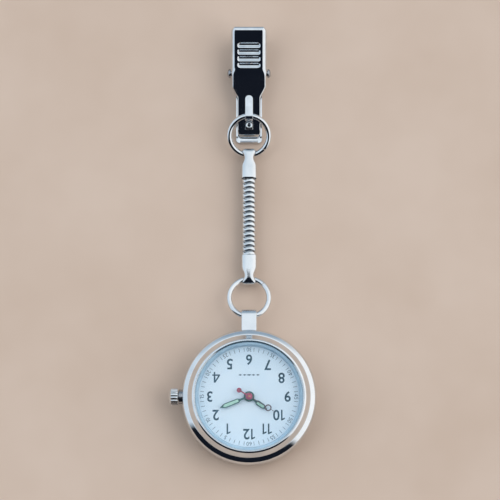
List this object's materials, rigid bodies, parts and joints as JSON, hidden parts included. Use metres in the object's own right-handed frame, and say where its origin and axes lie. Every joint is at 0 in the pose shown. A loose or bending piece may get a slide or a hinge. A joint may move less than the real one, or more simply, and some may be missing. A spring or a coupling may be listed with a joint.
{
  "type": "clip-on fob watch",
  "caption": "Quartz fob watch that hangs dial-outward from a sprung alligator clip on a short flexible snake chain, with a dial the wearer reads upside down.",
  "frame": {"origin": "centre of the case back's outer face, on the axis of the dial", "axes": "+Z out of the dial, +Y along the chain towards the clip, crown at -X; twelve o'clock is at -Y"},
  "size_m": [0.0308, 0.0921, 0.0078],
  "materials": {
    "polished_chrome": "polished",
    "steel": "satin",
    "brass": "satin",
    "mineral_glass": "clear, polished",
    "dial_paint": "satin, printed in dark slate",
    "dial_ring_plastic": "satin",
    "nylon": "moulded",
    "board": "solder mask",
    "copper": "lacquered winding",
    "seal_rubber": "moulded",
    "hand_green": "pale green lume in a dark outline",
    "hand_red": "gloss"
  },
  "bodies": {
    "watch_case": {"case_body": "polished_chrome", "bezel": "polished_chrome", "crystal": "mineral_glass", "crystal_gasket": "nylon", "case_back": "steel", "back_gasket": "seal_rubber", "dial": "dial_paint", "dial_ring": "dial_ring_plastic", "crown_tube": "steel", "movement_holder": "nylon", "main_plate": "brass", "train_bridge": "steel", "bridge_screw": "steel", "circuit_board": "board", "quartz_can": "steel", "motor_coil": "copper", "stator": "steel", "battery_cell": "steel", "battery_clamp": "steel"},
    "crown_slide": {"crown_seal": "seal_rubber"},
    "crown_and_stem": {"crown": "polished_chrome", "winding_stem": "steel"},
    "setting_lever": {"setting_lever": "steel"},
    "rotor": {"rotor": "brass"},
    "step_wheel": {"step_wheel": "brass"},
    "third_wheel": {"third_wheel": "brass"},
    "seconds": {"seconds_wheel": "brass", "second_hand": "hand_red"},
    "minutes": {"centre_wheel": "brass", "minute_hand": "hand_green"},
    "minute_wheel": {"minute_wheel": "brass"},
    "hours": {"hour_wheel": "brass", "hour_hand": "hand_green"},
    "lower_ring": {"lower_ring": "polished_chrome"},
    "lower_ferrule": {"lower_ferrule": "polished_chrome"},
    "link_01": {"chain_link_01": "polished_chrome"},
    "link_02": {"chain_link_02": "polished_chrome"},
    "link_03": {"chain_link_03": "polished_chrome"},
    "link_04": {"chain_link_04": "polished_chrome"},
    "link_05": {"chain_link_05": "polished_chrome"},
    "link_06": {"chain_link_06": "polished_chrome"},
    "link_07": {"chain_link_07": "polished_chrome"},
    "link_08": {"chain_link_08": "polished_chrome"},
    "link_09": {"chain_link_09": "polished_chrome"},
    "link_10": {"chain_link_10": "polished_chrome"},
    "link_11": {"chain_link_11": "polished_chrome"},
    "link_12": {"chain_link_12": "polished_chrome"},
    "link_13": {"chain_link_13": "polished_chrome"},
    "link_14": {"chain_link_14": "polished_chrome"},
    "link_15": {"chain_link_15": "polished_chrome"},
    "link_16": {"chain_link_16": "polished_chrome"},
    "upper_ferrule": {"upper_ferrule": "polished_chrome"},
    "upper_ring": {"upper_ring": "polished_chrome"},
    "clip_front": {"clip_lever": "polished_chrome", "ring_hook": "polished_chrome", "hook_rivet": "polished_chrome"},
    "clip_back": {"clip_base": "polished_chrome", "hinge_pin": "steel", "clip_spring": "steel"}
  },
  "joints": [
    {"name": "crown_pull", "type": "slide", "parent": "watch_case", "child": "crown_slide", "axis": [-1, 0, 0], "range_m": [0, 0.0006]},
    {"name": "crown_turn", "type": "hinge", "parent": "crown_slide", "child": "crown_and_stem", "pos_m": [-0.015, 0, 0.0042], "axis": [-1, 0, 0], "continuous": true},
    {"name": "setting_lever_swing", "type": "hinge", "parent": "watch_case", "child": "setting_lever", "pos_m": [-0.0065, 0.0018, 0.0042], "axis": [0, 0, -1], "range_deg": [0, 22]},
    {"name": "seconds_spin", "type": "hinge", "parent": "watch_case", "child": "seconds", "pos_m": [0, 0, 0.002], "axis": [0, 0, -1], "continuous": true},
    {"name": "third_spin", "type": "hinge", "parent": "watch_case", "child": "third_wheel", "pos_m": [0.00128, 0.00221, 0.002], "axis": [0, 0, -1], "continuous": true},
    {"name": "minutes_spin", "type": "hinge", "parent": "watch_case", "child": "minutes", "pos_m": [0, 0, 0.0029], "axis": [0, 0, -1], "continuous": true},
    {"name": "minute_wheel_spin", "type": "hinge", "parent": "watch_case", "child": "minute_wheel", "pos_m": [-0.00226, -0.00082, 0.004], "axis": [0, 0, -1], "continuous": true},
    {"name": "hours_spin", "type": "hinge", "parent": "watch_case", "child": "hours", "pos_m": [0, 0, 0.0043], "axis": [0, 0, -1], "continuous": true},
    {"name": "step_spin", "type": "hinge", "parent": "watch_case", "child": "step_wheel", "pos_m": [-0.00249, 0.00044, 0.002], "axis": [0, 0, -1], "continuous": true},
    {"name": "rotor_spin", "type": "hinge", "parent": "watch_case", "child": "rotor", "pos_m": [-0.00372, 0.00115, 0.002], "axis": [0, 0, -1], "continuous": true},
    {"name": "lower_ring_swing", "type": "hinge", "parent": "watch_case", "child": "lower_ring", "pos_m": [0, 0.01685, 0.0036], "axis": [1, 0, 0], "range_deg": [-50, 50]},
    {"name": "lower_ferrule_swing", "type": "hinge", "parent": "lower_ring", "child": "lower_ferrule", "pos_m": [0, 0.02495, 0.0018], "axis": [-1, 0, 0], "range_deg": [-50, 50]},
    {"name": "link_01_bend", "type": "hinge", "parent": "lower_ferrule", "child": "link_01", "pos_m": [0, 0.02985, 0.0018], "axis": [1, 0, 0], "range_deg": [-8, 8]},
    {"name": "link_02_bend", "type": "hinge", "parent": "link_01", "child": "link_02", "pos_m": [0, 0.03088, 0.0018], "axis": [0, 0, 1], "range_deg": [-8, 8]},
    {"name": "link_03_bend", "type": "hinge", "parent": "link_02", "child": "link_03", "pos_m": [0, 0.03191, 0.0018], "axis": [1, 0, 0], "range_deg": [-8, 8]},
    {"name": "link_04_bend", "type": "hinge", "parent": "link_03", "child": "link_04", "pos_m": [0, 0.03294, 0.0018], "axis": [0, 0, 1], "range_deg": [-8, 8]},
    {"name": "link_05_bend", "type": "hinge", "parent": "link_04", "child": "link_05", "pos_m": [0, 0.03397, 0.0018], "axis": [1, 0, 0], "range_deg": [-8, 8]},
    {"name": "link_06_bend", "type": "hinge", "parent": "link_05", "child": "link_06", "pos_m": [0, 0.035, 0.0018], "axis": [0, 0, 1], "range_deg": [-8, 8]},
    {"name": "link_07_bend", "type": "hinge", "parent": "link_06", "child": "link_07", "pos_m": [0, 0.03603, 0.0018], "axis": [1, 0, 0], "range_deg": [-8, 8]},
    {"name": "link_08_bend", "type": "hinge", "parent": "link_07", "child": "link_08", "pos_m": [0, 0.03706, 0.0018], "axis": [0, 0, 1], "range_deg": [-8, 8]},
    {"name": "link_09_bend", "type": "hinge", "parent": "link_08", "child": "link_09", "pos_m": [0, 0.03809, 0.0018], "axis": [-1, 0, 0], "range_deg": [-8, 8]},
    {"name": "link_10_bend", "type": "hinge", "parent": "link_09", "child": "link_10", "pos_m": [0, 0.03912, 0.0018], "axis": [0, 0, -1], "range_deg": [-8, 8]},
    {"name": "link_11_bend", "type": "hinge", "parent": "link_10", "child": "link_11", "pos_m": [0, 0.04015, 0.0018], "axis": [-1, 0, 0], "range_deg": [-8, 8]},
    {"name": "link_12_bend", "type": "hinge", "parent": "link_11", "child": "link_12", "pos_m": [0, 0.04118, 0.0018], "axis": [0, 0, -1], "range_deg": [-8, 8]},
    {"name": "link_13_bend", "type": "hinge", "parent": "link_12", "child": "link_13", "pos_m": [0, 0.04221, 0.0018], "axis": [-1, 0, 0], "range_deg": [-8, 8]},
    {"name": "link_14_bend", "type": "hinge", "parent": "link_13", "child": "link_14", "pos_m": [0, 0.04324, 0.0018], "axis": [0, 0, -1], "range_deg": [-8, 8]},
    {"name": "link_15_bend", "type": "hinge", "parent": "link_14", "child": "link_15", "pos_m": [0, 0.04427, 0.0018], "axis": [-1, 0, 0], "range_deg": [-8, 8]},
    {"name": "link_16_bend", "type": "hinge", "parent": "link_15", "child": "link_16", "pos_m": [0, 0.0453, 0.0018], "axis": [0, 0, -1], "range_deg": [-8, 8]},
    {"name": "upper_ferrule_bend", "type": "hinge", "parent": "link_16", "child": "upper_ferrule", "pos_m": [0, 0.04623, 0.0018], "axis": [1, 0, 0], "range_deg": [-8, 8]},
    {"name": "upper_ring_swing", "type": "hinge", "parent": "upper_ferrule", "child": "upper_ring", "pos_m": [0, 0.05122, 0.0018], "axis": [1, 0, 0], "range_deg": [-50, 50]},
    {"name": "clip_swing", "type": "hinge", "parent": "upper_ring", "child": "clip_front", "pos_m": [0, 0.0592, 0.0041], "axis": [-1, 0, 0], "range_deg": [-50, 15]},
    {"name": "clip_open", "type": "hinge", "parent": "clip_front", "child": "clip_back", "pos_m": [0, 0.0686, 0.0025], "axis": [1, 0, 0], "range_deg": [0, 22], "stiffness_Nm_per_rad": 0.05, "springref_deg": -20.05, "deforming": ["clip_spring"]}
  ],
  "couplings": [
    {"joint": "setting_lever_swing", "follows": "crown_pull", "rad_per_m": 613.8},
    {"joint": "third_spin", "follows": "seconds_spin", "ratio": -0.13333},
    {"joint": "minutes_spin", "follows": "seconds_spin", "ratio": 0.016667},
    {"joint": "minute_wheel_spin", "follows": "seconds_spin", "ratio": -0.0055556},
    {"joint": "hours_spin", "follows": "seconds_spin", "ratio": 0.0013889},
    {"joint": "step_spin", "follows": "seconds_spin", "ratio": -8},
    {"joint": "rotor_spin", "follows": "seconds_spin", "ratio": 30}
  ]
}
